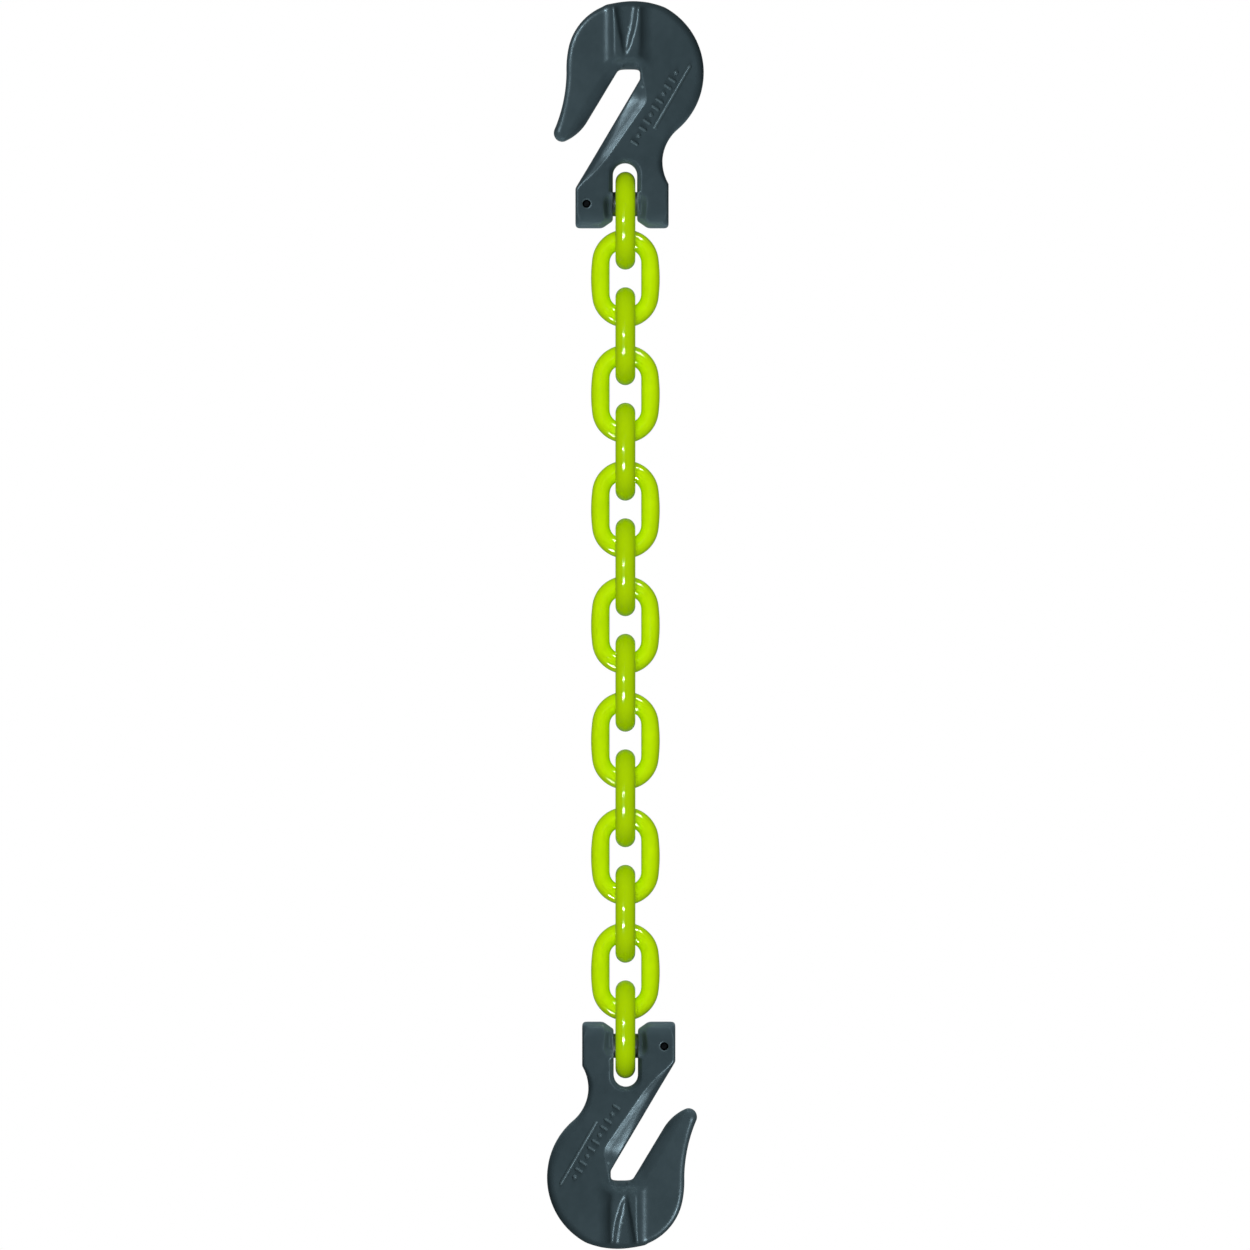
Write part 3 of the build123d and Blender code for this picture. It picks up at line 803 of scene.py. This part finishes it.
def hook_lights(end, turn):
    """The lights about one hook, front and back; the lower hook's are the upper's, turned."""
    group = light_group(end + "_lit", ends[end])
    middle = turn @ Vector(HOOK_MIDDLE)
    for face, back in (("near", 0), ("far", math.pi)):
        spin = turn @ Matrix.Rotation(back, 3, "Z")
        for name, place, size, energy, glossy in HOOK_LIGHTS:
            softbox(f"{end}_{name}_{face}", middle + spin @ Vector(place), middle, size,
                    energy, group, glossy=glossy and face == "near")


def chain_lights():
    """Soft light on the links, front and back, and the small glints on their coat."""
    every_link = light_group("links_lit", edge_on_links + face_on_links)
    edge_on_lit = light_group("edge_on_lit", edge_on_links)
    face_on_lit = light_group("face_on_lit", face_on_links)
    centre = (0, 0, 0)
    for back in (0, 180):
        place = towards(back + CHAIN_AZIMUTH, CHAIN_ELEVATION, CHAIN_FAR)
        softbox(f"front_{back}", place, centre, CHAIN_LIGHT_SIZE, CHAIN_ENERGY,
                every_link, glossy=False)
        softbox(f"face_on_{back}", place, centre, CHAIN_LIGHT_SIZE, FACE_ON_ENERGY,
                face_on_lit, glossy=False)
    for elevation, height, energy in LEG_GLINTS:
        softbox(f"leg_glint_{height}", towards(LEG_GLINT_AZIMUTH, elevation, GLINT_FAR), centre,
                (LEG_GLINT_WIDTH, height), energy, edge_on_lit, diffuse=False)
    for azimuth, elevation in BEND_GLINTS:
        softbox(f"bend_glint_{azimuth}", towards(azimuth, elevation, GLINT_FAR), centre,
                BEND_GLINT_SIZE, BEND_GLINT_ENERGY, face_on_lit, diffuse=False)


floor()
surroundings()
hook_lights("upper", Matrix.Identity(3))
hook_lights("lower", Matrix.Rotation(math.pi, 3, "Y"))
chain_lights()

camera_data = bpy.data.cameras.new("camera")
camera_data.lens = LENS
camera_data.sensor_width = SENSOR
camera_data.clip_end = 100.0
camera = bpy.data.objects.new("camera", camera_data)
distance = PICTURE_HEIGHT / 2 / (SENSOR / 2 / LENS)
camera.location = (CAMERA_X, -distance, 0.0)
aim(camera, (CAMERA_X, 0, 0))
bpy.context.scene.collection.objects.link(camera)
bpy.context.scene.camera = camera
bpy.context.scene.view_settings.view_transform = "Standard"
